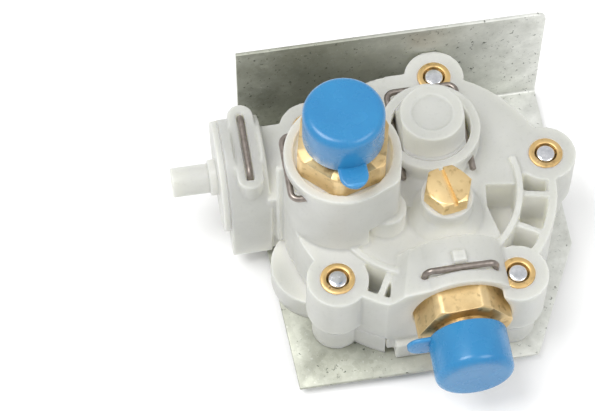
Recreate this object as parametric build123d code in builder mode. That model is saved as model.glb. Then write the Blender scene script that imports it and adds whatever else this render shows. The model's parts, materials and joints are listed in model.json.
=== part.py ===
"""Hydraulic diverter valve on its bracket: moulded drum housing, clipped connectors, caps and inner valve."""

from build123d import *
import os
from math import cos, radians, sin

os.makedirs("parts", exist_ok=True)

# ---------------------------------------------------------------- driving dimensions (mm)
# Heights are measured from the top of the bracket plate, and x, y from the axis of the round drum.

# Bracket
plate_thickness = 1.2
plate_right = 48.3
plate_left = 50.0
plate_front = 45.5
plate_front_left = 45.0
plate_front_right = 30.0
plate_shoulder_y = -9.0
flange_back = 49.8
flange_height = 45.0
bend_radius = 1.0
flange_corner = 3.0

# Housing screws and their inserts
screw_radius = 3.0
screw_head_radius = 5.6
screw_head_height = 3.2
screw_clearance = 0.3
screw_tip = 33.0
screw_socket_flats = 5.0
screw_chamfer = 0.5
insert_radius = 5.2
insert_body_radius = 4.0
insert_bore = 3.4
insert_bottom = 27.5
insert_step = 31.2
insert_top = 33.2
insert_chamfer = 0.3
bolt_circle = 40.5
boss_angles = (221.0, 8.8, 305.0, 74.0, 139.0)

# Drum
drum_radius = 41.5
drum_wall = 2.7
drum_floor = 3.0
parting = 10.0
deck = 33.0
boss_radius = 9.4
column_radius = 7.6
column_top = 14.0
lobe_x = -33.6
lobe_y = -8.5
lobe_radius = 14.5
ridge_outer = 31.0
ridge_inner = 29.0
ridge_height = 1.4
ridge_sectors = ((-60.0, 12.0), (215.0, 262.0))
pocket_floor = 18.0
rib_thickness = 1.8
rib_angles = (-12.0, -32.0, 241.0)
pocket_sectors = ((-57.0, 0.0), (224.0, 256.0))
inner_pocket_start = -44.0
inner_pocket_span = 38.0
inner_pocket_corners = ((19.6, -1.6), (18.6, -9.0))

# Diaphragm and plunger
chamber_radius = 17.5
recess_top = 13.6
rim_radius = 22.0
rim_height = 1.0
dish_depth = 4.5
rubber = 1.0
dish_radius = 13.5
support_radius = 13.0
support_thickness = 2.0
support_hub_radius = 3.2
support_hub_height = 2.4
retainer_radius = 6.0
rod_radius = 1.5
running_gap = 0.05
guide_radius = 6.2
guide_top = 32.2
gland_top = 17.0
seat_bottom = 21.5
seat_thickness = 1.5
seat_bore = 4.0
washer_thickness = 0.9
washer_bore = 2.6
disc_radius = 5.6
disc_thickness = 1.5
spring_radius = 4.6
spring_wire = 0.7
spring_turns = 3
plateau_radius = 8.4
plateau_top = 34.8

# Sockets, shared by the ports
port_height = 23.5
socket_radius = 17.5
mouth_radius = 14.75
mouth_depth = 2.0
collar_bore = 12.3
collar_depth = 10.0
seal_bore = 10.3
seal_depth = 15.5
fit_gap = 0.1
end_gap = 0.5

# Inlet, upright
inlet_x = -25.0
inlet_rim = 62.0
inlet_bore = 7.5
inlet_floor = 18.0
shoulder_height = 41.5
shoulder_x = -19.4
shoulder_y = -5.0
fin_left = -44.6
fin_front = 1.0
fin_thickness = 1.8
fin_top = 54.4
corner_x = -13.3
corner_y = -9.6
corner_radius = 4.0
blind_x = -12.9
blind_y = -9.6
blind_radius = 6.0
blind_top = 42.0

# Outlet, level and to the front
line_x = 5.5
outlet_rim = -37.7
outlet_back = -21.7
skirt_bottom = 3.0
skirt_thickness = 3.7
flank_front = 22.3
flank_back = 18.0
flank_shoulder = (4.5, 4.0)
flank_height = 9.0
flank_meets_arch = (-8.5, 14.8)
lip_front = -40.2
lip_left = -14.2
lip_heights = (0.3, 8.4)
notch_reach = 12.0
block_size = 4.0
block_height = 1.6
block_place = 8.5

# Side port, level and to the left
side_y = 19.3
side_rim = -58.6
side_back = -46.0
side_clip_depth = 7.0
side_collar_depth = 10.0
side_seal_bore = 8.3
side_seal_depth = 16.0
spigot_reach = 75.0
spigot_radius = 4.6
spigot_bore = 3.0
spigot_collar_radius = 5.6
spigot_collar_length = 2.5
flange_thickness = 2.2
pad_radius = 4.0
pad_half_length = 11.0
neck_front = 3.0
neck_back = 29.8
neck_skirt_x = -42.9
spigot_flange_radius = 17.3

# Water passages
passage_width = 6.0
side_way_y = 12.0
side_way = (18.0, 25.0)
way_clearance = 0.5

# How far one shape runs into the next so that they fuse cleanly
overlap = 1.0

# Cartridge plug, upright
plug_y = 16.5
platform_radius = 15.3
platform_top = 41.5
plug_top = 49.5
plug_tip_radius = 9.8
plug_foot_radius = 11.4
plug_bottom = 29.0
plug_collar_bottom = 33.5
plug_flat = 9.7
dish_in_plug = 0.5
plug_lip = 3.5
plug_leg_reach = 14.3
strainer_radius = 8.0
strainer_floor = 17.2
strainer_wall = 1.0
strainer_windows = 6
strainer_window = (4.0, 7.0)

# Adjuster, upright over the outlet passage
adjuster_y = -9.5
tower_radius = 8.0
tower_top = 44.0
tower_foot_radius = 11.5
tower_foot_top = 38.0
adjuster_head = 6.0
adjuster_flats = 13.0
adjuster_bore = 3.5
adjuster_tip = 19.5
adjuster_cone = 4.0
slot_width = 1.5
slot_depth = 2.0
slot_angle = 100.0
adjuster_turn = 10.0
adjuster_seal = 39.0
needle_tip = 0.8

# Staple clips
wire_radius = 1.0
leg_offset = 10.8
bridge_offset = 16.8
leg_reach = 11.0
clip_depth = 5.4
clip_bend = 2.4

# Threaded connectors and their caps
hex_flats = 26.0
hex_corner = 14.5
hex_proud = 7.0
thread_radius = 10.4775
thread_length = 13.6
connector_bore = 7.0
neck_radius = 9.2
neck_length = 2.0
cap_radius = 12.0
cap_wall = 1.2
cap_start = 9.4
cap_length = 14.2
cap_rounding = 2.6
tab_width = 8.5
tab_length = 7.6
tab_thickness = 1.6
inlet_hex_turn = 46.0
outlet_hex_turn = 6.0
inlet_tab_turn = 183.0
outlet_tab_turn = 182.0
thread_chamfer = 0.8

# O-rings
ring_wire = 0.9

# ---------------------------------------------------------------- frame
# Origin: middle of the footprint, on the surface under the screw heads.
cap_end = -outlet_rim + cap_start + cap_length
right_boss = bolt_circle * cos(radians(boss_angles[1])) + boss_radius
axis_x = (spigot_reach - right_boss) / 2
axis_y = (cap_end - flange_back) / 2
plate_top = screw_head_height + plate_thickness

notch_left = line_x - flank_front - screw_clearance
notch_right = line_x + notch_reach

UP = (Align.CENTER, Align.CENTER, Align.MIN)


def level(height, x=0.0, y=0.0):
    """Horizontal work plane at a height above the plate, with its origin x, y away from the drum axis."""
    return Plane((axis_x + x, axis_y + y, plate_top + height))


def post(bottom, top, radius, x=0.0, y=0.0, mode=Mode.ADD):
    """Upright cylinder between two heights."""
    with Locations(level(bottom, x, y)):
        Cylinder(radius, top - bottom, align=UP, mode=mode)


def block(x_range, y_range, height_range, mode=Mode.ADD):
    """Box between two corners given in drum coordinates."""
    size = [high - low for low, high in (x_range, y_range, height_range)]
    middle = [(low + high) / 2 for low, high in (x_range, y_range, height_range)]
    with Locations(level(middle[2], middle[0], middle[1])):
        Box(*size, mode=mode)


def bore(port, start, end, radius, mode=Mode.SUBTRACT):
    """Cylinder on the axis of a port between two depths below its rim."""
    with Locations(port.offset(-end)):
        Cylinder(radius, end - start, align=UP, mode=mode)


def boss_centres():
    """Places of the five housing screws."""
    return [(bolt_circle * cos(radians(a)), bolt_circle * sin(radians(a))) for a in boss_angles]


# Each port plane lies in its rim: its normal points out of the port, and its y points at the clip bridge.
inlet_port = Plane(level(inlet_rim, inlet_x).origin, x_dir=(0, 1, 0), z_dir=(0, 0, 1))
outlet_port = Plane(level(port_height, line_x, outlet_rim).origin, x_dir=(1, 0, 0), z_dir=(0, -1, 0))
side_port = Plane(level(port_height, side_rim, side_y).origin, x_dir=(0, -1, 0), z_dir=(-1, 0, 0))
plug_port = Plane(level(platform_top, line_x, plug_y).origin, x_dir=(1, 0, 0), z_dir=(0, 0, 1))

# For each clipped port: its plane, the depth of the clip below its rim, and the reach of the clip's legs.
clipped_ports = {
    "inlet": (inlet_port, clip_depth, leg_reach),
    "outlet": (outlet_port, clip_depth, leg_reach),
    "side": (side_port, side_clip_depth, leg_reach),
    "plug": (plug_port, clip_depth, plug_leg_reach),
}


def finish(part, name):
    """Labels a finished piece and writes it."""
    part.label = name
    export_step(part, f"parts/{name}.step")


# ---------------------------------------------------------------- bracket
with BuildPart() as bracket_plate:
    with BuildSketch(Plane.YZ.offset(axis_x - plate_left)):
        with BuildLine():
            bracket_line = FilletPolyline(
                (axis_y - plate_front, plate_top - plate_thickness / 2),
                (axis_y + flange_back - plate_thickness / 2, plate_top - plate_thickness / 2),
                (axis_y + flange_back - plate_thickness / 2, plate_top + flange_height),
                radius=bend_radius + plate_thickness / 2,
            )
            offset(bracket_line, plate_thickness / 2, kind=Kind.INTERSECTION, mode=Mode.REPLACE)
        make_face()
    extrude(amount=plate_left + plate_right)
    with BuildSketch(level(-plate_thickness)):
        with BuildLine():
            Polyline(
                (-plate_front_left, -plate_front),
                (plate_front_right, -plate_front),
                (plate_right, plate_shoulder_y),
                (plate_right, flange_back),
                (-plate_left, flange_back),
                close=True,
            )
        make_face()
    extrude(amount=plate_thickness + flange_height, mode=Mode.INTERSECT)
    upright_edges = bracket_plate.edges().filter_by(Axis.Y).group_by(Axis.Z)[-1]
    fillet(upright_edges, flange_corner)
    with Locations(*[level(0, x, y) for x, y in boss_centres()]):
        Hole(screw_radius + screw_clearance, depth=plate_thickness)
finish(bracket_plate.part, "bracket_plate")

# ---------------------------------------------------------------- lower shell
with BuildPart() as lower_shell:
    post(0, parting, drum_radius)
    for x, y in boss_centres():
        post(0, parting, column_radius, x, y)
    post(0, parting, lobe_radius, lobe_x, lobe_y)
    # diaphragm chamber and the groove that holds the diaphragm rim
    post(drum_floor, parting, chamber_radius, mode=Mode.SUBTRACT)
    post(parting - rim_height, parting, rim_radius, mode=Mode.SUBTRACT)
    # the outlet skirt of the upper housing comes down in front
    notch_edge = outlet_rim + skirt_thickness + screw_clearance
    block((notch_left, notch_right), (-2 * drum_radius, notch_edge), (0, parting), mode=Mode.SUBTRACT)
    # lightening ring under the outer wall
    with BuildSketch(level(drum_floor)):
        Circle(drum_radius - drum_wall)
        Circle(rim_radius + drum_wall, mode=Mode.SUBTRACT)
        with Locations(*boss_centres()):
            Circle(column_radius, mode=Mode.SUBTRACT)
        with Locations((line_x, notch_edge)):
            Rectangle(2 * socket_radius + 2 * drum_wall, 2 * drum_wall, mode=Mode.SUBTRACT)
    extrude(amount=parting, mode=Mode.SUBTRACT)
    for x, y in boss_centres():
        post(0, parting, screw_radius + screw_clearance, x, y, mode=Mode.SUBTRACT)
finish(lower_shell.part, "lower_shell")


# ---------------------------------------------------------------- upper housing
def arch_outline(bottom):
    """Outline of a level port: half circle above, straight sides down to a height."""
    drop = port_height - bottom
    height = drop + socket_radius
    Circle(socket_radius)
    Rectangle(2 * socket_radius, drop, align=(Align.CENTER, Align.MAX))
    with Locations((0, -drop)):
        Rectangle(2 * socket_radius, height, align=(Align.CENTER, Align.MIN), mode=Mode.INTERSECT)


def flank_outline(reach):
    """Outline of the left flank of the outlet arch: up its side, over a bevelled shoulder and into the arch."""
    drop = port_height - parting
    across, up = flank_shoulder
    Polygon(
        (0, -drop),
        (-reach, -drop),
        (-reach, flank_height),
        (-reach + across, flank_height + up),
        flank_meets_arch,
        (0, 0),
        align=None,
    )


def clip_holes(port, depth, reach):
    """Pair of holes for the legs of a staple clip, and the groove under its bridge."""
    across = port.offset(-depth)
    hole_radius = wire_radius + fit_gap
    for side in (-1, 1):
        leg_tip = across.from_local_coords((side * leg_offset, -reach - fit_gap, 0))
        with Locations(Plane(leg_tip, x_dir=port.z_dir, z_dir=port.y_dir)):
            Cylinder(hole_radius, reach + 2 * bridge_offset, align=UP, mode=Mode.SUBTRACT)
    groove_start = across.from_local_coords((0, bridge_offset - clip_bend, 0))
    with Locations(Plane(groove_start, port.x_dir, port.z_dir)):
        Box(
            2 * (leg_offset + hole_radius + fit_gap),
            socket_radius,
            2 * (hole_radius + fit_gap),
            align=(Align.CENTER, Align.MIN, Align.CENTER),
            mode=Mode.SUBTRACT,
        )


def drum_plan(boss):
    """Outline of the drum with its bosses, the foot of the inlet tower, the fin and the side neck."""
    Circle(drum_radius)
    with Locations(*boss_centres()):
        Circle(boss)
    with Locations((inlet_x, 0)):
        Circle(socket_radius)
    with Locations(((fin_left + inlet_x) / 2, fin_front + fin_thickness / 2)):
        Rectangle(inlet_x - fin_left, fin_thickness)
    neck_left = side_back - overlap
    with Locations(((neck_left + inlet_x) / 2, (neck_front + neck_back) / 2)):
        Rectangle(inlet_x - neck_left, neck_back - neck_front)


def ring_sector(inner, outer, start, end, mode):
    """Part of a ring between two angles about the drum axis."""
    with BuildSketch(mode=Mode.PRIVATE) as sector:
        Circle(outer)
        Circle(inner, mode=Mode.SUBTRACT)
        with BuildSketch(mode=Mode.INTERSECT):
            with BuildLine():
                reach = 2 * outer
                wedge = [(0, 0)]
                for angle in (start, (start + end) / 2, end):
                    wedge.append((reach * cos(radians(angle)), reach * sin(radians(angle))))
                Polyline(*wedge, close=True)
            make_face()
    add(sector.sketch, mode=mode)


with BuildPart() as upper_housing:
    # drum in three storeys: columns under the bosses, bosses, and pockets open above
    with BuildSketch(level(parting)):
        drum_plan(column_radius)
    extrude(amount=column_top - parting)
    with BuildSketch(level(column_top)):
        drum_plan(boss_radius)
    extrude(amount=pocket_floor - column_top)
    with BuildSketch(level(pocket_floor)):
        drum_plan(boss_radius)
        for start, end in pocket_sectors:
            ring_sector(ridge_outer, drum_radius - drum_wall, start, end, Mode.SUBTRACT)
        with BuildLine():
            pocket_arc = CenterArc((0, 0), ridge_inner, inner_pocket_start, inner_pocket_span)
            Polyline(pocket_arc @ 1, *inner_pocket_corners, pocket_arc @ 0)
        make_face(mode=Mode.SUBTRACT)
        with Locations(*boss_centres()):
            Circle(boss_radius)
        for angle in rib_angles:
            with Locations(Rotation(0, 0, angle)):
                with Locations(((ridge_outer + drum_radius) / 2 - drum_wall / 2, 0)):
                    Rectangle(drum_radius - ridge_outer, rib_thickness)
    extrude(amount=deck - pocket_floor)
    with BuildSketch(level(deck)):
        for start, end in ridge_sectors:
            ring_sector(ridge_inner, ridge_outer, start, end, Mode.ADD)
    extrude(amount=ridge_height)
    # inlet tower, drawn out to a corner at its front right and cut back under that corner
    with BuildSketch(level(deck)):
        with Locations((inlet_x, 0)):
            Circle(socket_radius)
        with Locations((corner_x, corner_y)):
            Circle(corner_radius)
        make_hull()
    extrude(amount=inlet_rim - deck)
    cut_x = (shoulder_x, inlet_x + socket_radius + overlap)
    block(cut_x, (-socket_radius, shoulder_y), (deck, shoulder_height), mode=Mode.SUBTRACT)
    # plug platform, adjuster tower and central plateau
    post(deck, platform_top, platform_radius, line_x, plug_y)
    with Locations(level(deck, line_x, adjuster_y)):
        Cone(tower_foot_radius, tower_radius, tower_foot_top - deck, align=UP)
    post(tower_foot_top, tower_top, tower_radius, line_x, adjuster_y)
    post(deck, plateau_top, plateau_radius)
    # the blind stub fills the cut-back corner of the inlet tower
    post(deck, blind_top, blind_radius, blind_x, blind_y)
    block((fin_left, inlet_x - socket_radius / 2), (fin_front, fin_front + fin_thickness), (deck, fin_top))
    # outlet arch, set in a notch cut through the drum wall, with a skirt over the lower shell
    block((notch_left, notch_right), (-2 * drum_radius, outlet_rim), (0, 2 * deck), mode=Mode.SUBTRACT)
    with BuildSketch(outlet_port):
        arch_outline(parting)
    extrude(amount=outlet_rim - outlet_back)
    with BuildSketch(outlet_port):
        flank_outline(flank_front)
    with BuildSketch(outlet_port.offset(outlet_rim - outlet_back)):
        flank_outline(flank_back)
    loft()
    skirt_x = (line_x - flank_front, notch_right - screw_clearance)
    skirt_back = outlet_rim + skirt_thickness
    block(skirt_x, (outlet_rim, skirt_back), (skirt_bottom, parting + skirt_thickness))
    block((lip_left, skirt_x[1]), (lip_front, skirt_back), lip_heights)
    with Locations(level(port_height + socket_radius, line_x, outlet_rim + block_place)):
        Box(block_size, block_size, 2 * block_height)
    # side port with its clip pad
    with BuildSketch(side_port):
        arch_outline(skirt_bottom)
    extrude(amount=side_rim - side_back)
    with BuildSketch(level(port_height, side_rim + side_clip_depth, side_y)) as pad:
        SlotCenterToCenter(2 * pad_half_length, 2 * pad_radius, rotation=90)
    extrude(amount=2 * socket_radius, mode=Mode.SUBTRACT)
    extrude(pad.sketch, amount=bridge_offset - wire_radius / 2)
    # the neck behind the side port comes down beside the lower shell
    neck_skirt = (side_back - overlap, neck_skirt_x)
    block(neck_skirt, (neck_front, neck_back), (skirt_bottom, parting + overlap))
    # bores of the four ports
    for port in (inlet_port, outlet_port):
        bore(port, -hex_proud, mouth_depth, mouth_radius)
        bore(port, 0, collar_depth, collar_bore)
        bore(port, 0, seal_depth, seal_bore)
    bore(plug_port, 0, platform_top - plug_collar_bottom, collar_bore)
    bore(plug_port, 0, platform_top - plug_bottom + strainer_wall, seal_bore)
    bore(plug_port, 0, platform_top - strainer_floor, strainer_radius + end_gap)
    bore(side_port, 0, side_collar_depth, collar_bore)
    bore(side_port, 0, side_seal_depth, side_seal_bore)
    for port, depth, reach in clipped_ports.values():
        clip_holes(port, depth, reach)
    # water passages: inlet to plunger, plunger to outlet, over the seat to the strainer, and on to the side
    post(inlet_floor, inlet_rim, inlet_bore, inlet_x, mode=Mode.SUBTRACT)
    lower_way = (gland_top + 2 * way_clearance, seat_bottom - way_clearance)
    upper_way = (seat_bottom + seat_thickness + way_clearance, plug_bottom - strainer_wall)
    block((inlet_x, 0), (-passage_width / 2, passage_width / 2), lower_way, mode=Mode.SUBTRACT)
    block((0, passage_width), (outlet_rim + seal_depth - overlap, 0), lower_way, mode=Mode.SUBTRACT)
    block((line_x - passage_width, line_x), (0, plug_y), upper_way, mode=Mode.SUBTRACT)
    side_way_end = side_rim + side_seal_depth - overlap
    block((side_way_end, line_x), (side_way_y, side_way_y + passage_width), side_way, mode=Mode.SUBTRACT)
    # plunger guide and diaphragm recess
    post(recess_top, guide_top, guide_radius, mode=Mode.SUBTRACT)
    post(parting, recess_top, chamber_radius, mode=Mode.SUBTRACT)
    # adjuster bore, insert bores and screw holes
    post(adjuster_tip - end_gap, tower_top, adjuster_bore, line_x, adjuster_y, mode=Mode.SUBTRACT)
    for x, y in boss_centres():
        post(parting, deck, screw_radius + screw_clearance, x, y, mode=Mode.SUBTRACT)
        post(insert_bottom, insert_step, insert_body_radius, x, y, mode=Mode.SUBTRACT)
        post(insert_step, insert_top, insert_radius, x, y, mode=Mode.SUBTRACT)
finish(upper_housing.part, "upper_housing")

# ---------------------------------------------------------------- inserts and housing screws
with BuildPart() as boss_inserts:
    for x, y in boss_centres():
        post(insert_bottom, insert_step, insert_body_radius, x, y)
        post(insert_step, insert_top, insert_radius, x, y)
        post(insert_bottom, insert_top, insert_bore, x, y, mode=Mode.SUBTRACT)
    chamfer(boss_inserts.edges().filter_by(GeomType.CIRCLE).group_by(Axis.Z)[-1], insert_chamfer)
finish(boss_inserts.part, "boss_inserts")

with BuildPart() as housing_screws:
    for x, y in boss_centres():
        post(-plate_thickness - screw_head_height, -plate_thickness, screw_head_radius, x, y)
        post(-plate_thickness, screw_tip, screw_radius, x, y)
    chamfer(housing_screws.edges().filter_by(GeomType.CIRCLE).group_by(Axis.Z)[-1], screw_chamfer)
    with BuildSketch(level(-plate_thickness - screw_head_height)):
        with Locations(*boss_centres()):
            RegularPolygon(screw_socket_flats / 2, 6, major_radius=False)
    extrude(amount=screw_head_height / 2, mode=Mode.SUBTRACT)
finish(housing_screws.part, "housing_screws")

# ---------------------------------------------------------------- diaphragm and plunger
dish_bottom = parting - rubber - dish_depth
dish_top = dish_bottom + rubber

with BuildPart() as diaphragm:
    with BuildSketch(Plane.XZ.offset(-axis_y)):
        with BuildLine():
            Polyline(
                (axis_x + rod_radius + running_gap, plate_top + dish_bottom),
                (axis_x + dish_radius, plate_top + dish_bottom),
                (axis_x + chamber_radius - running_gap, plate_top + parting - rubber),
                (axis_x + rim_radius - running_gap, plate_top + parting - rubber),
                (axis_x + rim_radius - running_gap, plate_top + parting),
                (axis_x + chamber_radius - rubber, plate_top + parting),
                (axis_x + dish_radius - rubber / 2, plate_top + dish_top),
                (axis_x + rod_radius + running_gap, plate_top + dish_top),
                close=True,
            )
        make_face()
    revolve(axis=Axis((axis_x, axis_y, 0), (0, 0, 1)))
finish(diaphragm.part, "diaphragm")

support_top = dish_top + support_thickness
with BuildPart() as diaphragm_plate:
    with Locations(level(dish_top)):
        Cone(dish_radius - rubber, support_radius, support_thickness, align=UP)
    post(support_top, support_top + support_hub_height, support_hub_radius)
    post(dish_top, support_top + support_hub_height, rod_radius, mode=Mode.SUBTRACT)
finish(diaphragm_plate.part, "diaphragm_plate")

with BuildPart() as diaphragm_retainer:
    post(dish_bottom - rubber, dish_bottom, retainer_radius)
    post(dish_bottom - rubber, dish_bottom, rod_radius, mode=Mode.SUBTRACT)
finish(diaphragm_retainer.part, "diaphragm_retainer")

disc_bottom = seat_bottom + seat_thickness + washer_thickness
disc_top = disc_bottom + disc_thickness
with BuildPart() as push_rod:
    post(drum_floor + fit_gap, disc_top, rod_radius)
    chamfer(push_rod.edges().filter_by(GeomType.CIRCLE), 0.3)
finish(push_rod.part, "push_rod")

ring_groove = ring_wire + 0.1
gland_middle = (recess_top + gland_top) / 2
with BuildPart() as rod_gland:
    post(recess_top, gland_top, guide_radius)
    post(recess_top, gland_top, rod_radius + running_gap, mode=Mode.SUBTRACT)
    post(
        gland_middle - ring_groove,
        gland_middle + ring_groove,
        rod_radius + running_gap + 2 * ring_wire + 0.1,
        mode=Mode.SUBTRACT,
    )
finish(rod_gland.part, "rod_gland")

with BuildPart() as rod_o_ring:
    with Locations(level(gland_middle)):
        Torus(rod_radius + running_gap + ring_wire, ring_wire)
finish(rod_o_ring.part, "rod_o_ring")

with BuildPart() as valve_seat:
    post(seat_bottom, seat_bottom + seat_thickness, guide_radius)
    post(seat_bottom, seat_bottom + seat_thickness, seat_bore, mode=Mode.SUBTRACT)
finish(valve_seat.part, "valve_seat")

with BuildPart() as valve_washer:
    post(seat_bottom + seat_thickness, disc_bottom, disc_radius)
    post(seat_bottom + seat_thickness, disc_bottom, washer_bore, mode=Mode.SUBTRACT)
finish(valve_washer.part, "valve_washer")

with BuildPart() as valve_disc:
    post(disc_bottom, disc_top, disc_radius)
    post(seat_bottom + seat_thickness, disc_bottom, washer_bore)
    post(seat_bottom, disc_top, rod_radius, mode=Mode.SUBTRACT)
finish(valve_disc.part, "valve_disc")

spring_height = guide_top - disc_top
with BuildPart() as return_spring:
    coil_height = spring_height - spring_wire - 2 * running_gap
    with BuildLine() as spring_line:
        Helix(
            pitch=coil_height / spring_turns,
            height=coil_height,
            radius=spring_radius,
            center=level(disc_top + spring_wire / 2 + running_gap).origin,
        )
    with BuildSketch(Plane(spring_line.line @ 0, z_dir=spring_line.line % 0)):
        Circle(spring_wire / 2)
    sweep()
finish(return_spring.part, "return_spring")


# ---------------------------------------------------------------- helpers for what the ports hold
def turned(port, start, end, radius, mode=Mode.ADD):
    """Disc on the axis of a port between two distances outside its rim (negative inside)."""
    with Locations(port.offset(start)):
        Cylinder(radius, end - start, align=UP, mode=mode)


def clip_groove(port, depth):
    """Ring groove that the legs of a staple clip run in."""
    half = wire_radius + fit_gap
    turned(port, -depth - half, -depth + half, collar_bore + 1, mode=Mode.SUBTRACT)
    turned(port, -depth - half, -depth + half, leg_offset - wire_radius - 2 * fit_gap)


def seal_groove(port, middle, body_radius, bore_radius):
    """Groove round a body for the O-ring that seals it in a bore."""
    turned(port, middle - ring_groove, middle + ring_groove, body_radius + 1, mode=Mode.SUBTRACT)
    turned(port, middle - ring_groove, middle + ring_groove, bore_radius - 2 * ring_wire - running_gap)


def seal_ring(port, middle, bore_radius):
    """O-ring that seals a body in a bore."""
    with Locations(port.offset(middle)):
        Torus(bore_radius - ring_wire - running_gap / 2, ring_wire)


# ---------------------------------------------------------------- threaded connectors, their O-rings and caps
seal_middle = -(collar_depth + seal_depth) / 2
connector_end = hex_proud + neck_length + thread_length

for name, port, hex_turn, tab_turn in (
    ("inlet", inlet_port, inlet_hex_turn, inlet_tab_turn),
    ("outlet", outlet_port, outlet_hex_turn, outlet_tab_turn),
):
    outward = Axis(port.origin, port.z_dir)
    with BuildPart() as connector:
        turned(port, -seal_depth + end_gap, -collar_depth + fit_gap, seal_bore - fit_gap)
        turned(port, -collar_depth + fit_gap, -mouth_depth + fit_gap, collar_bore - fit_gap)
        clip_groove(port, clip_depth)
        seal_groove(port, seal_middle, seal_bore - fit_gap, seal_bore)
        with BuildSketch(port.offset(-mouth_depth + fit_gap)):
            RegularPolygon(hex_flats / 2, 6, major_radius=False, rotation=hex_turn)
            Circle(hex_corner, mode=Mode.INTERSECT)
        extrude(amount=mouth_depth - fit_gap + hex_proud)
        turned(port, hex_proud, hex_proud + neck_length, neck_radius)
        turned(port, hex_proud + neck_length, connector_end, thread_radius)
        chamfer(connector.edges().filter_by(GeomType.CIRCLE).sort_by(outward)[-1], thread_chamfer)
        turned(port, -seal_depth, connector_end, connector_bore, mode=Mode.SUBTRACT)
    finish(connector.part, f"{name}_connector")

    with BuildPart() as connector_o_ring:
        seal_ring(port, seal_middle, seal_bore)
    finish(connector_o_ring.part, f"{name}_o_ring")

    with BuildPart() as cap:
        turned(port, cap_start, cap_start + cap_length, cap_radius)
        fillet(cap.edges().sort_by(outward)[-1], cap_rounding)
        with Locations(port.offset(cap_start) * Location((0, 0, 0), (0, 0, tab_turn))):
            with Locations((cap_radius - cap_wall, 0, 0)):
                Box(tab_length, tab_width, tab_thickness, align=(Align.MIN, Align.CENTER, Align.MIN))
        turned(port, cap_start, connector_end + fit_gap, thread_radius + running_gap, mode=Mode.SUBTRACT)
    finish(cap.part, f"{name}_cap")

# ---------------------------------------------------------------- cartridge plug and strainer
shoulder_top = -clip_depth - wire_radius - fit_gap
collar_bottom = plug_collar_bottom + fit_gap - platform_top
body_bottom = plug_bottom - platform_top
with BuildPart() as cartridge_plug:
    turned(plug_port, shoulder_top, 0, collar_bore - fit_gap)
    with Locations(plug_port):
        Cone(plug_foot_radius, plug_tip_radius, plug_top - platform_top, align=UP)
    turned(
        plug_port,
        plug_top - platform_top - dish_in_plug,
        plug_top - platform_top,
        plug_tip_radius - plug_lip,
        mode=Mode.SUBTRACT,
    )
    with Locations(plug_port):
        Box(2 * plug_flat, 2 * collar_bore, 2 * plug_top, mode=Mode.INTERSECT)
    turned(plug_port, collar_bottom, shoulder_top, collar_bore - fit_gap)
    turned(plug_port, body_bottom, collar_bottom, seal_bore - fit_gap)
    seal_groove(plug_port, (body_bottom + collar_bottom) / 2, seal_bore - fit_gap, seal_bore)
finish(cartridge_plug.part, "cartridge_plug")

with BuildPart() as plug_o_ring:
    seal_ring(plug_port, (body_bottom + collar_bottom) / 2, seal_bore)
finish(plug_o_ring.part, "plug_o_ring")

with BuildPart() as strainer:
    post(strainer_floor + fit_gap, plug_bottom, strainer_radius, line_x, plug_y)
    post(plug_bottom - strainer_wall, plug_bottom, seal_bore - fit_gap, line_x, plug_y)
    cup_floor = strainer_floor + fit_gap + strainer_wall
    post(cup_floor, plug_bottom, strainer_radius - strainer_wall, line_x, plug_y, mode=Mode.SUBTRACT)
    with Locations(level(cup_floor + 1, line_x, plug_y)):
        with PolarLocations(strainer_radius, strainer_windows):
            Box(strainer_radius, *strainer_window, align=UP, mode=Mode.SUBTRACT)
finish(strainer.part, "strainer")

# ---------------------------------------------------------------- side spigot
side_seal_middle = -(side_collar_depth + side_seal_depth) / 2
spigot_end = spigot_reach + side_rim
with BuildPart() as side_spigot:
    turned(side_port, -side_seal_depth + end_gap, -side_collar_depth + fit_gap, side_seal_bore - fit_gap)
    turned(side_port, -side_collar_depth + fit_gap, 0, collar_bore - fit_gap)
    clip_groove(side_port, side_clip_depth)
    seal_groove(side_port, side_seal_middle, side_seal_bore - fit_gap, side_seal_bore)
    turned(side_port, 0, flange_thickness, spigot_flange_radius)
    turned(side_port, flange_thickness, flange_thickness + spigot_collar_length, spigot_collar_radius)
    turned(side_port, flange_thickness, spigot_end, spigot_radius)
    turned(side_port, -side_seal_depth, spigot_end, spigot_bore, mode=Mode.SUBTRACT)
finish(side_spigot.part, "side_spigot")

with BuildPart() as side_o_ring:
    seal_ring(side_port, side_seal_middle, side_seal_bore)
finish(side_o_ring.part, "side_o_ring")

# ---------------------------------------------------------------- staple clips, all of one pattern
for name, (port, depth, reach) in clipped_ports.items():
    with BuildPart() as clip:
        with BuildLine(port.offset(-depth)) as clip_path:
            FilletPolyline(
                (-leg_offset, -reach),
                (-leg_offset, bridge_offset),
                (leg_offset, bridge_offset),
                (leg_offset, -reach),
                radius=clip_bend,
            )
        with BuildSketch(Plane(clip_path.line @ 0, z_dir=clip_path.line % 0)):
            Circle(wire_radius)
        sweep()
    finish(clip.part, f"{name}_clip")

# ---------------------------------------------------------------- adjuster
adjuster_port = level(tower_top, line_x, adjuster_y)
with BuildPart() as adjuster_screw:
    with BuildSketch(adjuster_port):
        RegularPolygon(adjuster_flats / 2, 6, major_radius=False, rotation=adjuster_turn)
    extrude(amount=adjuster_head)
    with Locations(adjuster_port.offset(adjuster_head) * Location((0, 0, 0), (0, 0, slot_angle))):
        Box(2 * adjuster_flats, slot_width, 2 * slot_depth, mode=Mode.SUBTRACT)
    shank_radius = adjuster_bore - running_gap
    post(adjuster_tip + adjuster_cone, tower_top, shank_radius, line_x, adjuster_y)
    with Locations(level(adjuster_tip, line_x, adjuster_y)):
        Cone(needle_tip, shank_radius, adjuster_cone, align=UP)
    seal_groove(adjuster_port, adjuster_seal - tower_top, shank_radius, adjuster_bore)
finish(adjuster_screw.part, "adjuster_screw")

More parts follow.
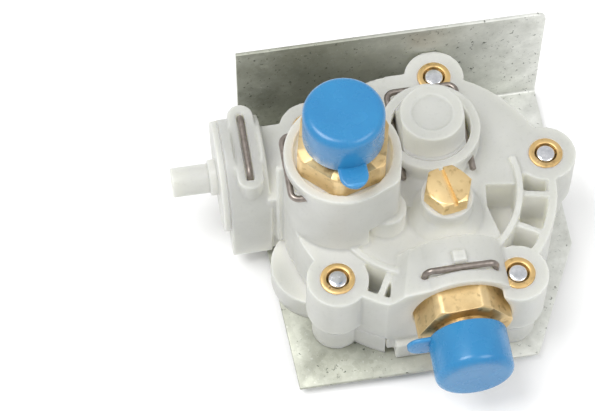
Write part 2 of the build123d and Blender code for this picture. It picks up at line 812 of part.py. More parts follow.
with BuildPart() as adjuster_o_ring:
    seal_ring(adjuster_port, adjuster_seal - tower_top, adjuster_bore)
finish(adjuster_o_ring.part, "adjuster_o_ring")
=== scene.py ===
"""Looks of the diverter valve: housing, brass fittings, blue covers, wire clips and galvanised bracket."""

import json
import math

import bmesh
import bpy
from mathutils import Matrix, Vector

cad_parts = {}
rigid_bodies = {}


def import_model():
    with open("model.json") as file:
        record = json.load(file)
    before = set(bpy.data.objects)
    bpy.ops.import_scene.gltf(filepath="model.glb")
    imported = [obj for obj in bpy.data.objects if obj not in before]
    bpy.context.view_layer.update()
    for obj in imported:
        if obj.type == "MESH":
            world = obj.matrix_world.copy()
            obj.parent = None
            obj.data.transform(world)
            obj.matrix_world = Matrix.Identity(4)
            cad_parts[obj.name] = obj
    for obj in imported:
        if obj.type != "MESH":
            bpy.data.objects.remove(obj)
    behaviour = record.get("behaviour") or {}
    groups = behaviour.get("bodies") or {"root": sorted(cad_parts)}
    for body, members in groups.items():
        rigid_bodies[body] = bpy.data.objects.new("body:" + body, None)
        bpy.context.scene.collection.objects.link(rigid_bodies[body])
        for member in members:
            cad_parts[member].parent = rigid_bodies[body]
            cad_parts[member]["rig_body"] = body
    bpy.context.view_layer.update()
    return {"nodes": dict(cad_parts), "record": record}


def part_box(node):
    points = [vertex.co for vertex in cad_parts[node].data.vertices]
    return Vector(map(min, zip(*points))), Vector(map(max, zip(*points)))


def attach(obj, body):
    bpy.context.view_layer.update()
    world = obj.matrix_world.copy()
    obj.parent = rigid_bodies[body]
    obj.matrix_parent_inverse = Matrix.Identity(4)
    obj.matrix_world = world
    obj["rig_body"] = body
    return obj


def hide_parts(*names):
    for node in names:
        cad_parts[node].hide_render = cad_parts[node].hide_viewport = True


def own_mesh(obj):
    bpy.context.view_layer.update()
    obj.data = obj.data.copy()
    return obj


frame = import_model()

MM = 0.001
PLATE = 1.2  # thickness of the bracket's sheet


# ---------------------------------------------------------------- places read from the frame
def centre(node):
    """Middle of a CAD node's box."""
    low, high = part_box(node)
    return (low + high) / 2


drum = centre("diaphragm")
plate_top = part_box("bracket_plate")[0].z + PLATE * MM


def at(x, y, height):
    """Point from drum coordinates in millimetres: x, y from the drum axis, height above the bracket plate."""
    return Vector((drum.x + x * MM, drum.y + y * MM, plate_top + height * MM))


class Port:
    """Frame of a port: origin in its rim, out along the port, up towards the bridge of its clip."""

    def __init__(self, origin, out, up):
        self.origin = origin
        self.out = Vector(out)
        self.up = Vector(up)
        self.side = self.up.cross(self.out)

    def point(self, side, up, out):
        """Point from millimetres along the three directions."""
        return self.origin + (self.side * side + self.up * up + self.out * out) * MM

    def matrix(self):
        """Matrix whose local z runs out of the port, in millimetres."""
        turn = Matrix((self.side, self.up, self.out)).transposed().to_4x4()
        return Matrix.Translation(self.origin) @ turn @ Matrix.Scale(MM, 4)


inlet = Port(at(-25, 0, 62), (0, 0, 1), (-1, 0, 0))
outlet = Port(at(5.5, -37.7, 23.5), (0, -1, 0), (0, 0, 1))
side = Port(at(-58.6, 19.3, 23.5), (-1, 0, 0), (0, 0, 1))
plug = Port(at(5.5, 16.5, 41.5), (0, 0, 1), (0, 1, 0))
adjuster = Port(at(5.5, -9.5, 44), (0, 0, 1), (0, 1, 0))


# ---------------------------------------------------------------- materials
class Nodes:
    """Small builder for a node material around one Principled shader."""

    def __init__(self, name):
        self.material = bpy.data.materials.new(name)
        self.material.use_nodes = True
        self.tree = self.material.node_tree
        self.shader = self.tree.nodes["Principled BSDF"]
        self.coords = self.tree.nodes.new("ShaderNodeTexCoord").outputs["Object"]

    def link(self, source, target):
        self.tree.links.new(source, target)

    def noise(self, scale, detail=4.0, rough=0.55, stretch=None):
        """Noise in object space; scale is in features per metre."""
        texture = self.tree.nodes.new("ShaderNodeTexNoise")
        texture.inputs["Scale"].default_value = scale
        texture.inputs["Detail"].default_value = detail
        texture.inputs["Roughness"].default_value = rough
        if stretch:
            mapping = self.tree.nodes.new("ShaderNodeMapping")
            mapping.inputs["Scale"].default_value = stretch
            self.link(self.coords, mapping.inputs["Vector"])
            self.link(mapping.outputs["Vector"], texture.inputs["Vector"])
        else:
            self.link(self.coords, texture.inputs["Vector"])
        return texture.outputs["Fac"]

    def cells(self, scale):
        """Random grey per cell, for crystals of zinc."""
        texture = self.tree.nodes.new("ShaderNodeTexVoronoi")
        texture.inputs["Scale"].default_value = scale
        self.link(self.coords, texture.inputs["Vector"])
        return texture.outputs["Color"]

    def along(self, axis, start, end):
        """Ramp from 0 to 1 between two places along an object axis, in metres."""
        split = self.tree.nodes.new("ShaderNodeSeparateXYZ")
        self.link(self.coords, split.inputs["Vector"])
        spread = self.tree.nodes.new("ShaderNodeMapRange")
        spread.inputs["From Min"].default_value = start
        spread.inputs["From Max"].default_value = end
        self.link(split.outputs[axis], spread.inputs["Value"])
        return spread.outputs["Result"]

    def openness(self, reach):
        """How open the surface is to the air around it, looking as far as reach in millimetres."""
        occlusion = self.tree.nodes.new("ShaderNodeAmbientOcclusion")
        occlusion.samples = 8
        occlusion.inputs["Distance"].default_value = reach * MM
        return occlusion.outputs["AO"]

    def edges(self):
        """Convexity of the surface, about a half on flat ground."""
        return self.tree.nodes.new("ShaderNodeNewGeometry").outputs["Pointiness"]

    def ramp(self, source, stops):
        """Colour ramp from (position, colour) stops."""
        ramp = self.tree.nodes.new("ShaderNodeValToRGB")
        while len(ramp.color_ramp.elements) < len(stops):
            ramp.color_ramp.elements.new(0.5)
        for element, (position, colour) in zip(ramp.color_ramp.elements, stops):
            element.position = position
            if isinstance(colour, float):
                colour = (colour, colour, colour)
            element.color = (*colour, 1)
        self.link(source, ramp.inputs["Fac"])
        return ramp.outputs["Color"]

    def mix(self, amount, first, second, blend="MIX"):
        """Mixes two colours or sockets."""
        mix = self.tree.nodes.new("ShaderNodeMix")
        mix.data_type = "RGBA"
        mix.blend_type = blend
        values = {"Factor": amount, "A": first, "B": second}
        for name, value in values.items():
            socket = mix.inputs[name]
            if isinstance(value, bpy.types.NodeSocket):
                self.link(value, socket)
            elif isinstance(value, tuple):
                socket.default_value = (*value, 1)
            else:
                socket.default_value = value
        return mix.outputs["Result"]

    def bump(self, *layers):
        """Stacks (source, height in millimetres) layers into the normal."""
        normal = None
        for source, height in layers:
            bump = self.tree.nodes.new("ShaderNodeBump")
            bump.inputs["Distance"].default_value = height * MM
            self.link(source, bump.inputs["Height"])
            if normal:
                self.link(normal, bump.inputs["Normal"])
            normal = bump.outputs["Normal"]
        self.link(normal, self.shader.inputs["Normal"])

    def finish(self, colour, roughness, **values):
        """Sets colour and roughness, each a value or a socket, and any other shader inputs."""
        for name, value in (("Base Color", colour), ("Roughness", roughness)):
            if isinstance(value, bpy.types.NodeSocket):
                self.link(value, self.shader.inputs[name])
            elif isinstance(value, tuple):
                self.shader.inputs[name].default_value = (*value, 1)
            else:
                self.shader.inputs[name].default_value = value
        for name, value in values.items():
            self.shader.inputs[name.replace("_", " ")].default_value = value
        return self.material


def moulded(name, light, dark, depth, painted_light=None):
    """Natural translucent moulding: cloudy, with a fine skin and soft light inside; painted_light, if given,
    is a colour painted into hollows: the more shut in the surface, the paler it turns, as painted light
    standing for light that shines through the walls.
    """
    n = Nodes(name)
    cloud = n.ramp(n.noise(45, 3), [(0.35, dark), (0.65, light)])
    speck = n.ramp(n.noise(900, 2), [(0.28, 0.94), (0.42, 1.0)])
    colour = n.mix(1.0, cloud, speck, "MULTIPLY")
    if painted_light:
        # painted light: shut-in hollows turn towards the pale colour, standing for light shining through the
        # walls
        painted_light_amount = n.ramp(n.openness(14), [(0.25, 1.0), (0.80, 0.0)])
        colour = n.mix(painted_light_amount, colour, painted_light)
    rough = n.ramp(n.noise(160, 4), [(0.3, 0.34), (0.7, 0.48)])
    n.bump((n.noise(130, 3), 0.12), (n.noise(2200, 2), 0.012))
    material = n.finish(colour, rough, Subsurface_Weight=0.8, Subsurface_Scale=depth * MM, IOR=1.49)
    n.shader.inputs["Subsurface Radius"].default_value = (1.0, 1.0, 0.85)
    return material


def brass(name, light, dark, tarnish, rough_low, rough_high):
    """Machined brass with brighter edges, faint turning marks and a little tarnish."""
    n = Nodes(name)
    cloud = n.ramp(n.noise(120, 5), [(0.3, dark), (0.6, light)])
    stain = n.ramp(n.noise(420, 4), [(0.30, 1.0), (0.45, 0.0)])
    colour = n.mix(stain, cloud, tarnish)
    edge = n.ramp(n.edges(), [(0.52, 0.0), (0.60, 1.0)])
    bright = tuple(min(1.0, c * 1.15 + 0.05) for c in light)
    colour = n.mix(edge, colour, bright)
    rough = n.ramp(n.noise(300, 4), [(0.3, rough_low), (0.7, rough_high)])
    n.bump((n.noise(1600, 3), 0.02), (n.noise(260, 3), 0.05))
    return n.finish(colour, rough, Metallic=1.0)


def steel(name, light, dark, rough_low, rough_high, grain):
    """Plain drawn or plated steel."""
    n = Nodes(name)
    colour = n.ramp(n.noise(grain, 5), [(0.3, dark), (0.7, light)])
    edge = n.ramp(n.edges(), [(0.53, 0.0), (0.62, 0.7)])
    colour = n.mix(edge, colour, tuple(min(1.0, c * 1.2) for c in light))
    rough = n.ramp(n.noise(grain * 2, 3), [(0.3, rough_low), (0.7, rough_high)])
    n.bump((n.noise(grain * 6, 3), 0.012))
    return n.finish(colour, rough, Metallic=1.0)


def galvanised():
    """Galvanised sheet: zinc crystals, grey bloom, stains, specks and fine rolling scratches."""
    n = Nodes("galvanised_steel_look")
    crystal = n.ramp(n.cells(700), [(0.2, (0.36, 0.37, 0.315)), (0.8, (0.50, 0.51, 0.445))])
    bloom = n.ramp(n.noise(70, 6, 0.65), [(0.35, (0.28, 0.29, 0.24)), (0.65, (0.58, 0.59, 0.52))])
    darker_zinc = n.mix(0.55, crystal, bloom)
    stain = n.ramp(n.noise(28, 5, 0.6), [(0.42, 0.0), (0.60, 0.55)])
    darker_zinc = n.mix(stain, darker_zinc, (0.24, 0.245, 0.19))
    paler_zinc = n.ramp(n.noise(160, 6, 0.7), [(0.3, (0.60, 0.61, 0.57)), (0.7, (0.84, 0.85, 0.81))])
    # darker towards low X and paler towards high X across the bracket
    colour = n.mix(n.along("X", -0.010, 0.055), darker_zinc, paler_zinc)
    speck = n.ramp(n.noise(620, 4, 0.75), [(0.33, 1.0), (0.38, 0.0)])
    colour = n.mix(speck, colour, (0.10, 0.11, 0.09))
    pale = n.ramp(n.noise(900, 4, 0.7), [(0.60, 0.0), (0.72, 0.45)])
    colour = n.mix(pale, colour, (0.72, 0.73, 0.70))
    rough = n.ramp(n.noise(140, 5), [(0.3, 0.42), (0.7, 0.66)])
    scratch = n.noise(500, 2, 0.5, stretch=(1.0, 0.04, 1.0))
    n.bump((n.noise(900, 4), 0.03), (scratch, 0.02))
    return n.finish(colour, rough, Metallic=0.75)


def cover_plastic():
    """Soft blue polyethylene with a glossy, slightly wavy skin."""
    n = Nodes("cap_plastic_look")
    colour = n.ramp(n.noise(60, 3), [(0.3, (0.020, 0.18, 0.40)), (0.7, (0.028, 0.22, 0.45))])
    edge = n.ramp(n.edges(), [(0.52, 0.0), (0.62, 0.5)])
    colour = n.mix(edge, colour, (0.10, 0.36, 0.66))
    rough = n.ramp(n.noise(220, 4), [(0.3, 0.20), (0.7, 0.32)])
    n.bump((n.noise(110, 2), 0.10), (n.noise(1500, 2), 0.006))
    material = n.finish(colour, rough, Subsurface_Weight=0.15, Subsurface_Scale=1.5 * MM, IOR=1.5)
    n.shader.inputs["Subsurface Radius"].default_value = (0.3, 0.7, 1.0)
    return material


def rubber():
    """Black seal rubber with a fine grain."""
    n = Nodes("seal_rubber_look")
    colour = n.ramp(n.noise(300, 4), [(0.3, (0.012, 0.012, 0.012)), (0.7, (0.03, 0.03, 0.03))])
    n.bump((n.noise(1800, 3), 0.01))
    return n.finish(colour, 0.6)


# colour of the painted light in the hollows of the housing, standing for light shining through the
# translucent plastic
HOLLOW_PAINTED_LIGHT = (0.84, 0.835, 0.78)
insert_tones = ((0.76, 0.53, 0.24), (0.62, 0.42, 0.17), (0.40, 0.25, 0.10))
connector_tones = ((0.70, 0.53, 0.28), (0.52, 0.37, 0.18), (0.36, 0.25, 0.12))
adjuster_tones = ((0.86, 0.64, 0.33), (0.74, 0.53, 0.25), (0.53, 0.36, 0.15))
looks = {
    "galvanised_steel": galvanised(),
    "housing_plastic": moulded("housing_plastic_look", (0.53, 0.535, 0.505), (0.48, 0.485, 0.455), 6.0, HOLLOW_PAINTED_LIGHT),
    "spigot_plastic": moulded("spigot_plastic_look", (0.56, 0.565, 0.53), (0.51, 0.515, 0.485), 6.0, HOLLOW_PAINTED_LIGHT),
    "zinc_screw": steel("zinc_screw_look", (0.82, 0.83, 0.86), (0.60, 0.62, 0.66), 0.12, 0.28, 500),
    "insert_brass": brass("insert_brass_look", *insert_tones, 0.30, 0.42),
    "connector_brass": brass("connector_brass_look", *connector_tones, 0.36, 0.52),
    "adjuster_brass": brass("adjuster_brass_look", *adjuster_tones, 0.30, 0.42),
    "cap_plastic": cover_plastic(),
    "clip_steel": steel("clip_steel_look", (0.34, 0.30, 0.27), (0.22, 0.19, 0.17), 0.30, 0.45, 700),
    "seal_rubber": rubber(),
    "inner_plastic": moulded("inner_plastic_look", (0.06, 0.06, 0.065), (0.04, 0.04, 0.045), 0.5),
    "rod_steel": steel("rod_steel_look", (0.60, 0.61, 0.62), (0.45, 0.46, 0.47), 0.2, 0.3, 600),
    "strainer_mesh": moulded("strainer_mesh_look", (0.62, 0.63, 0.60), (0.55, 0.56, 0.53), 1.0),
}

slot_of = {entry["node"]: entry["material_slot"] for entry in frame["record"]["subparts"]}
body_of = {node: obj["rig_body"] for node, obj in frame["nodes"].items()}

for node, obj in frame["nodes"].items():
    obj.data.materials.clear()
    obj.data.materials.append(looks[slot_of[node]])


# ---------------------------------------------------------------- mesh helpers
def add_piece(name, mesh, node, smooth_angle=35):
    """Links a mesh as the visible piece for a CAD node: same body, and the material of the node's slot."""
    obj = bpy.data.objects.new(name, mesh)
    bpy.context.scene.collection.objects.link(obj)
    mesh.materials.clear()
    mesh.materials.append(looks[slot_of[node]])
    mesh.shade_smooth()
    if smooth_angle:
        mesh.set_sharp_from_angle(angle=math.radians(smooth_angle))
    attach(obj, body_of[node])
    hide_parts(node)
    return obj


def apply_modifiers(obj):
    """Replaces an object's mesh by its evaluated mesh."""
    graph = bpy.context.evaluated_depsgraph_get()
    mesh = bpy.data.meshes.new_from_object(obj.evaluated_get(graph))
    obj.modifiers.clear()
    old = obj.data
    obj.data = mesh
    bpy.data.meshes.remove(old)
    return mesh


def welded_copy(node):
    """Mesh copy of a CAD node with its seams merged."""
    bm = bmesh.new()
    bm.from_mesh(frame["nodes"][node].data)
    bmesh.ops.remove_doubles(bm, verts=bm.verts, dist=1e-6)
    mesh = bpy.data.meshes.new(node + "_detail")
    bm.to_mesh(mesh)
    bm.free()
    return mesh


def softened(node, voxel, rounds):
    """The CAD node's shape with moulding radii: remeshed finely and relaxed."""
    obj = bpy.data.objects.new("scratch", welded_copy(node))
    bpy.context.scene.collection.objects.link(obj)
    remesh = obj.modifiers.new("remesh", "REMESH")
    remesh.mode = "VOXEL"
    remesh.voxel_size = voxel * MM
    smooth = obj.modifiers.new("smooth", "SMOOTH")
    smooth.factor = 0.5
    smooth.iterations = rounds
    mesh = apply_modifiers(obj)
    bpy.data.objects.remove(obj)
    mesh.name = node + "_detail"
    return mesh


def bevelled(node, width, segments=2):
    """The CAD node's shape with narrow bevels on its sharp edges."""
    mesh = welded_copy(node)
    bm = bmesh.new()
    bm.from_mesh(mesh)
    bmesh.ops.dissolve_limit(bm, angle_limit=math.radians(1), verts=bm.verts, edges=bm.edges)
    bm.to_mesh(mesh)
    bm.free()
    obj = bpy.data.objects.new("scratch", mesh)
    bpy.context.scene.collection.objects.link(obj)
    bevel = obj.modifiers.new("bevel", "BEVEL")
    bevel.width = width * MM
    bevel.segments = segments
    bevel.limit_method = "ANGLE"
    bevel.angle_limit = math.radians(40)
    mesh = apply_modifiers(obj)
    bpy.data.objects.remove(obj)
    return mesh


def surface_of_rings(rings, name, closed=True):
    """Mesh through rings of equally many points.

    Closed joins the last ring to the first; otherwise each end is a pole.
    """
    count = len(rings[0])
    points = [p for ring in rings for p in ring]
    faces = []
    for i in range(len(rings) if closed else len(rings) - 1):
        j = (i + 1) % len(rings)
        for k in range(count):
            m = (k + 1) % count
            faces.append((i * count + k, i * count + m, j * count + m, j * count + k))
    mesh = bpy.data.meshes.new(name)
    mesh.from_pydata(points, [], faces)
    bm = bmesh.new()
    bm.from_mesh(mesh)
    bmesh.ops.remove_doubles(bm, verts=bm.verts, dist=1e-7)
    bmesh.ops.recalc_face_normals(bm, faces=bm.faces)
    bm.to_mesh(mesh)
    bm.free()
    return mesh


def turned(port, profile, name, segments=192, phase=0.0, closed=True):
    """Body round a port's axis from (out, radius) pairs in millimetres; a radius may depend on the angle."""
    matrix = port.matrix()
    rings = []
    for out, radius in profile:
        ring = []
        for k in range(segments):
            angle = 2 * math.pi * k / segments + phase
            r = radius(angle) if callable(radius) else radius
            ring.append(matrix @ Vector((r * math.cos(angle), r * math.sin(angle), out)))
        rings.append(ring)
    return surface_of_rings(rings, name, closed)


def arc(middle, radius, start, end, steps=8):
    """Points (out, radius) along an arc; angles in degrees from the radial direction towards out."""
    points = []
    for k in range(steps + 1):
        angle = math.radians(start + (end - start) * k / steps)
        points.append((middle[0] + radius * math.sin(angle), middle[1] + radius * math.cos(angle)))
    return points


def hexagon(flats, turn, corner):
    """Radius of a hexagon against angle, with its corners cut at a radius."""

    def radius(angle):
        step = math.radians(60)
        off = (angle - turn) % step - step / 2
        return min(flats / 2 / math.cos(off), corner)

    return radius


def combined(first, second, operation, name):
    """Boolean of two closed meshes: UNION or DIFFERENCE."""
    objects = []
    for mesh in (first, second):
        obj = bpy.data.objects.new("scratch", mesh)
        bpy.context.scene.collection.objects.link(obj)
        objects.append(obj)
    boolean = objects[0].modifiers.new("boolean", "BOOLEAN")
    boolean.operation = operation
    boolean.solver = "EXACT"
    boolean.object = objects[1]
    mesh = apply_modifiers(objects[0])
    for obj in objects:
        bpy.data.objects.remove(obj)
    mesh.name = name
    return mesh


def join(meshes, name):
    """One mesh from several."""
    bm = bmesh.new()
    for mesh in meshes:
        bm.from_mesh(mesh)
    joined = bpy.data.meshes.new(name)
    bm.to_mesh(joined)
    bm.free()
    return joined


# ---------------------------------------------------------------- mouldings
for name, node, voxel, rounds in (
    ("housing_upper_half", "upper_housing", 0.42, 3),
    ("housing_lower_half", "lower_shell", 0.45, 3),
    ("filter_plug", "cartridge_plug", 0.25, 9),
    ("hose_spigot", "side_spigot", 0.25, 4),
):
    add_piece(name, softened(node, voxel, rounds), node, smooth_angle=0)

# ---------------------------------------------------------------- bracket
add_piece("bracket_sheet", bevelled("bracket_plate", 0.15), "bracket_plate")

# ---------------------------------------------------------------- staple clips
WIRE = 1.0
TIP_CHAMFER = 0.3
LEG = 10.8
BRIDGE = 16.8
BEND = 2.4
BEND_STEPS = 8
WIRE_SIDES = 24


def staple_path(reach):
    """Middle line of a staple as (side, up) points, from one leg tip round the bridge to the other."""
    half = [(LEG, -reach), (LEG, -reach + 0.35), (LEG, 0.0), (LEG, BRIDGE - BEND - 2)]
    for k in range(BEND_STEPS + 1):
        angle = math.radians(90 * k / BEND_STEPS)
        half.append((LEG - BEND + BEND * math.cos(angle), BRIDGE - BEND + BEND * math.sin(angle)))
    half.append((LEG - BEND - 3, BRIDGE))
    return half + [(-a, b) for a, b in reversed(half)]


def staple(port, depth, reach, name):
    """Bent wire swept along the staple's line, with cut and slightly rounded ends."""
    path = staple_path(reach)
    rings = []
    for i, (a, b) in enumerate(path):
        before = path[max(i - 1, 0)]
        after = path[min(i + 1, len(path) - 1)]
        along = Vector((after[0] - before[0], after[1] - before[1])).normalized()
        across = Vector((-along.y, along.x))
        radius = WIRE - TIP_CHAMFER if i in (0, len(path) - 1) else WIRE
        ring = []
        for k in range(WIRE_SIDES):
            angle = 2 * math.pi * k / WIRE_SIDES
            off = across * (radius * math.cos(angle))
            ring.append(port.point(a + off.x, b + off.y, -depth + radius * math.sin(angle)))
        rings.append(ring)
    ends = [port.point(path[i][0], path[i][1], -depth) for i in (0, -1)]
    rings = [[ends[0]] * WIRE_SIDES] + rings + [[ends[1]] * WIRE_SIDES]
    return surface_of_rings(rings, name, closed=False)


for node, port, depth, reach in (
    ("inlet_clip", inlet, 5.4, 11.0),
    ("outlet_clip", outlet, 5.4, 11.0),
    ("side_clip", side, 7.0, 11.0),
    ("plug_clip", plug, 5.4, 14.3),
):
    add_piece(node + "_wire", staple(port, depth, reach, node + "_detail"), node)

# ---------------------------------------------------------------- brass connectors
BORE = 7.0
PITCH = 1.814
THREAD_DEPTH = 1.05
THREAD_RADIUS = 10.4775
THREAD_START = 9.0
THREAD_END = 22.6
NOSE_RADIUS = 10.2
COLLAR_RADIUS = 12.2
NECK_RADIUS = 9.2
HEX_START = -1.9
HEX_TOP = 7.0
HEX_FLATS = 26.0
HEX_CORNER = 14.5
CHAMFER_RADIUS = 13.7
CHAMFER_SLOPE = math.tan(math.radians(32))
THREAD_STEPS = 90


def thread_radius(out):
    """Radius of a right-hand thread at a place along the axis, against angle; it runs out at both ends."""
    fade_in = min(1.0, max(0.0, (out - THREAD_START) / 0.9))
    crest = THREAD_RADIUS - max(0.0, out - (THREAD_END - 0.8)) - (1 - fade_in) * THREAD_DEPTH

    def radius(angle):
        turn = (out / PITCH - angle / (2 * math.pi)) % 1.0
        flank = abs(2 * turn - 1)
        depth = THREAD_DEPTH * min(1.0, max(0.0, 1.25 * flank - 0.12))
        return min(crest, THREAD_RADIUS - depth)

    return radius


def groove(start, end, outer, inner):
    """Profile points of a square groove between two places along the axis."""
    return [(start, outer), (start, inner), (end, inner), (end, outer)]


def connector(port, hex_turn, name):
    """Brass connector: bored, with O-ring groove, clip groove, chamfered hexagon, neck and thread."""
    turn = math.radians(hex_turn)
    profile = [(-15.0, BORE), (-15.0, NOSE_RADIUS - 0.3), (-14.7, NOSE_RADIUS)]
    profile += groove(-13.75, -11.75, NOSE_RADIUS, 8.45)
    profile += [(-9.9, NOSE_RADIUS), (-9.9, COLLAR_RADIUS)]
    profile += groove(-6.5, -4.3, COLLAR_RADIUS, 9.6)
    profile += [(HEX_START, COLLAR_RADIUS), (HEX_START, hexagon(HEX_FLATS, turn, HEX_CORNER))]
    for rise in (0.5, 0.35, 0.2, 0.1):
        reach = CHAMFER_RADIUS + rise / CHAMFER_SLOPE
        profile.append((HEX_TOP - rise, hexagon(HEX_FLATS, turn, min(reach, HEX_CORNER))))
    profile.append((HEX_TOP, hexagon(HEX_FLATS - 0.1, turn, CHAMFER_RADIUS)))
    profile += [(HEX_TOP, NECK_RADIUS + 0.4), (HEX_TOP + 0.3, NECK_RADIUS), (THREAD_START - 0.1, NECK_RADIUS)]
    for k in range(THREAD_STEPS + 1):
        out = THREAD_START + (THREAD_END - THREAD_START) * k / THREAD_STEPS
        profile.append((out, thread_radius(out)))
    profile += [(THREAD_END, BORE + 0.5), (THREAD_END - 0.5, BORE)]
    return turned(port, profile, name, phase=turn)


for name, node, port, hex_turn in (
    ("inlet_brass", "inlet_connector", inlet, 46.0),
    ("outlet_brass", "outlet_connector", outlet, 6.0),
):
    add_piece(name, connector(port, hex_turn, name + "_detail"), node, smooth_angle=40)

# ---------------------------------------------------------------- blue covers
CAP_RADIUS = 12.0
CAP_START = 9.4
CAP_END = 23.6
CAP_ROUND = 2.6
CAP_BORE = THREAD_RADIUS + 0.05
CAP_INSIDE = 22.7
TAB_WIDTH = 8.5
TAB_TIP = 18.4
TAB_THICK = 1.6
TAB_STEPS = 26
TAB_OUTLINE = (
    (-1, 0.3),
    (-1, 0.7),
    (-0.93, 0.93),
    (-0.8, 1.0),
    (0.8, 1.0),
    (0.93, 0.93),
    (1, 0.7),
    (1, 0.3),
    (0.93, 0.07),
    (0.8, 0.0),
    (-0.8, 0.0),
    (-0.93, 0.07),
)


def tab(port, turn, name):
    """Pull tab: a tongue with a round end that leaves the rim of a cover."""
    matrix = port.matrix() @ Matrix.Rotation(math.radians(turn), 4, "Z")
    root = CAP_RADIUS - 0.7
    half = TAB_WIDTH / 2
    rings = []
    for k in range(TAB_STEPS + 1):
        r = root + (TAB_TIP - root) * (1 - (1 - k / TAB_STEPS) ** 1.6)
        inset = max(0.0, r - (TAB_TIP - half))
        width = math.sqrt(max(0.0, half**2 - inset**2))
        thick = TAB_THICK * (1.0 - 0.25 * k / TAB_STEPS)
        ring = []
        for across, height in TAB_OUTLINE:
            ring.append(matrix @ Vector((r, across * width, CAP_START + thick * height)))
        rings.append(ring)
    start = matrix @ Vector((root, 0, CAP_START + TAB_THICK / 2))
    rings.insert(0, [start] * len(rings[0]))
    return surface_of_rings(rings, name, closed=False)


def cover(port, tab_turn, name):
    """Blue push-on cover: a thin cup with a rounded end and a pull tab."""
    profile = [(CAP_END - 0.12, 0.0), (CAP_END - 0.10, 4.0), (CAP_END, 7.5)]
    profile += list(reversed(arc((CAP_END - CAP_ROUND, CAP_RADIUS - CAP_ROUND), CAP_ROUND, 0, 90, 10)))
    profile += [(CAP_START + 0.4, CAP_RADIUS), (CAP_START + 0.1, CAP_RADIUS - 0.1)]
    profile += [(CAP_START, CAP_RADIUS - 0.35)]
    profile += [(CAP_START, CAP_BORE + 0.2), (CAP_START + 0.3, CAP_BORE), (CAP_INSIDE - 0.6, CAP_BORE)]
    profile += [(CAP_INSIDE, CAP_BORE - 0.6), (CAP_INSIDE, 0.0)]
    cup = turned(port, profile, name, closed=False)
    return combined(cup, tab(port, tab_turn, name + "_tab"), "UNION", name)


for name, node, port, tab_turn in (
    ("inlet_cover_cap", "inlet_cap", inlet, 183.0),
    ("outlet_cover_cap", "outlet_cap", outlet, 182.0),
):
    add_piece(name, cover(port, tab_turn, node + "_detail"), node, smooth_angle=50)

# ---------------------------------------------------------------- housing screws and inserts
HEAD = 3.2
TIP = 33.0
BOLT_CIRCLE = 40.5
BOSS_ANGLES = (221, 8.8, 305, 74, 139)
SCREW_RADIUS = 3.0
SCREW_CREST = 2.95
SCREW_ROOT = 2.62
SCREW_RINGS = 48
HEAD_RADIUS = 5.6
SOCKET_FLATS = 5.0
SOCKET_DEPTH = 1.6


def boss_port(degrees):
    """Upright port through a housing boss, with its origin in the top of the bracket plate."""
    angle = math.radians(degrees)
    place = at(BOLT_CIRCLE * math.cos(angle), BOLT_CIRCLE * math.sin(angle), 0)
    return Port(place, (0, 0, 1), (0, 1, 0))


screw_ports = [boss_port(angle) for angle in BOSS_ANGLES]


def screw(port, name):
    """Housing screw: domed and chamfered end, thread under it and a socket head below the plate."""
    socket = hexagon(SOCKET_FLATS, 0.0, 2.9)
    low = -PLATE - HEAD
    profile = [(TIP, 0.0), (TIP - 0.02, 1.5), (TIP - 0.06, 2.5), (TIP - 0.2, 2.75), (TIP - 0.5, SCREW_CREST)]
    for k in range(SCREW_RINGS):
        out = TIP - 0.7 - 0.2 * k
        profile.append((out, SCREW_CREST if k % 4 in (0, 1) else SCREW_ROOT))
    profile += [(TIP - 10.5, SCREW_RADIUS), (-PLATE, SCREW_RADIUS), (-PLATE, HEAD_RADIUS - 0.2)]
    profile += [(-PLATE - 0.2, HEAD_RADIUS), (low + 0.7, HEAD_RADIUS), (low + 0.2, HEAD_RADIUS - 0.3)]
    profile += [(low, 4.8), (low, 3.1), (low + 0.2, socket)]
    profile += [(low + SOCKET_DEPTH, socket), (low + SOCKET_DEPTH, 0.0)]
    return turned(port, profile, name, segments=72, closed=False)


def insert(port, name):
    """Flanged brass insert."""
    profile = [(27.5, 3.4), (27.5, 3.8), (27.7, 4.0), (31.2, 4.0), (31.2, 5.2), (33.0, 5.2), (33.15, 5.12)]
    profile += [(33.2, 4.98), (33.2, 3.7), (33.14, 3.55), (33.0, 3.45), (32.6, 3.4)]
    return turned(port, profile, name, segments=96)


screws = [screw(port, "screw") for port in screw_ports]
inserts = [insert(port, "insert") for port in screw_ports]
add_piece("screw_set", join(screws, "screw_set_detail"), "housing_screws")
add_piece("insert_set", join(inserts, "insert_set_detail"), "boss_inserts")

# ---------------------------------------------------------------- adjuster
SHANK_RADIUS = 3.45
HEAD_FLATS = 13.0
HEAD_CORNER = 8.0
HEAD_HEIGHT = 6.0
HEAD_TURN = 10
FACE_RADIUS = 6.3
FACE_SLOPE = math.tan(math.radians(30))
SLOT_WIDTH = 1.5
SLOT_DEPTH = 2.0


def adjuster_body():
    """Needle, shank with its O-ring groove, and a hexagon with both faces turned to a chamfer."""
    turn = math.radians(HEAD_TURN)

    def flats(corner):
        return hexagon(HEAD_FLATS, turn, min(HEAD_CORNER, corner))

    profile = [(-24.5, 0.0), (-24.5, 0.8), (-20.5, SHANK_RADIUS)]
    profile += groove(-6.0, -4.0, SHANK_RADIUS, 1.65)
    profile += [(0.0, SHANK_RADIUS), (0.0, FACE_RADIUS)]
    for rise in (0.15, 0.35, 0.6):
        profile.append((rise, flats(FACE_RADIUS + 0.15 + rise / FACE_SLOPE)))
    profile.append((HEAD_HEIGHT / 2, flats(HEAD_CORNER)))
    for rise in (0.75, 0.6, 0.45, 0.3, 0.15, 0.05):
        profile.append((HEAD_HEIGHT - rise, flats(FACE_RADIUS + rise / FACE_SLOPE)))
    profile += [(HEAD_HEIGHT, FACE_RADIUS - 0.08), (HEAD_HEIGHT, 0.0)]
    return turned(adjuster, profile, "adjuster_detail", phase=turn, closed=False)


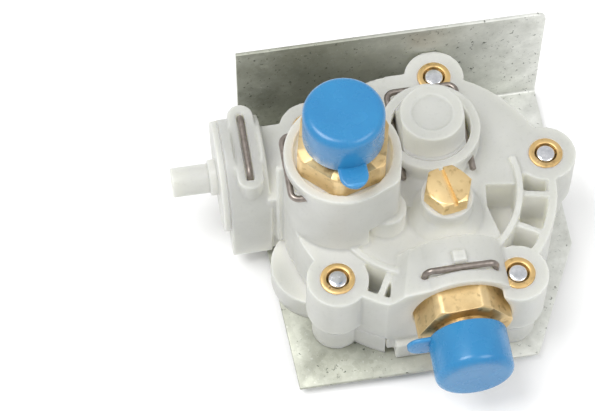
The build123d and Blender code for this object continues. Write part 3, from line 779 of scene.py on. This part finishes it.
def slot_cutter():
    """Long bar that cuts the screwdriver slot."""
    bm = bmesh.new()
    bmesh.ops.create_cube(bm, size=1.0)
    shape = Matrix.Diagonal((2 * HEAD_FLATS, SLOT_WIDTH, 2 * SLOT_DEPTH, 1.0))
    turn = Matrix.Rotation(math.radians(HEAD_TURN + 90), 4, "Z")
    place = adjuster.matrix() @ Matrix.Translation((0, 0, HEAD_HEIGHT)) @ turn
    bmesh.ops.transform(bm, matrix=place @ shape, verts=bm.verts)
    mesh = bpy.data.meshes.new("slot")
    bm.to_mesh(mesh)
    bm.free()
    return mesh


adjuster_mesh = combined(adjuster_body(), slot_cutter(), "DIFFERENCE", "adjuster_detail")
add_piece("adjuster_hexagon", adjuster_mesh, "adjuster_screw", smooth_angle=25)

# ---------------------------------------------------------------- return spring
spring = add_piece("valve_spring", welded_copy("return_spring"), "return_spring")
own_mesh(spring)

# ---------------------------------------------------------------- camera, floor and light
TARGET = at(-35.57, 18.06, 0)
CAMERA = at(-94.70, -349.10, 672.8)
camera_data = bpy.data.cameras.new("camera")
camera_data.lens = 145.21
camera_data.sensor_width = 36
camera_data.clip_end = 10
camera = bpy.data.objects.new("camera", camera_data)
camera.location = CAMERA
camera.rotation_euler = (TARGET - CAMERA).to_track_quat("-Z", "Y").to_euler()
bpy.context.scene.collection.objects.link(camera)
bpy.context.scene.camera = camera

FLOOR_REACH = 3.0
floor_mesh = bpy.data.meshes.new("floor")
corners = [(x * FLOOR_REACH, y * FLOOR_REACH, 0) for x, y in ((-1, -1), (1, -1), (1, 1), (-1, 1))]
floor_mesh.from_pydata(corners, [], [(0, 1, 2, 3)])
floor = bpy.data.objects.new("floor", floor_mesh)
bpy.context.scene.collection.objects.link(floor)
paper = Nodes("floor_look")
floor_mesh.materials.append(paper.finish((0.93, 0.93, 0.93), 0.8))


def area_light(name, place, size, power, colour=(1, 1, 1)):
    """Soft rectangular light that looks at the drum."""
    data = bpy.data.lights.new(name, "AREA")
    data.shape = "RECTANGLE"
    data.size, data.size_y = size
    data.energy = power
    data.color = colour
    lamp = bpy.data.objects.new(name, data)
    lamp.location = place
    lamp.rotation_euler = (drum - Vector(place)).to_track_quat("-Z", "Y").to_euler()
    bpy.context.scene.collection.objects.link(lamp)


area_light("key", (-0.46, 0.0, 1.08), (0.6, 0.6), 8.2)
area_light("fill", (0.55, -0.45, 0.9), (0.6, 0.5), 3.5)

world = bpy.data.worlds.new("studio")
world.use_nodes = True
world.node_tree.nodes["Background"].inputs["Color"].default_value = (1, 1, 1, 1)
world.node_tree.nodes["Background"].inputs["Strength"].default_value = 0.75
bpy.context.scene.world = world
bpy.context.scene.view_settings.view_transform = "Standard"
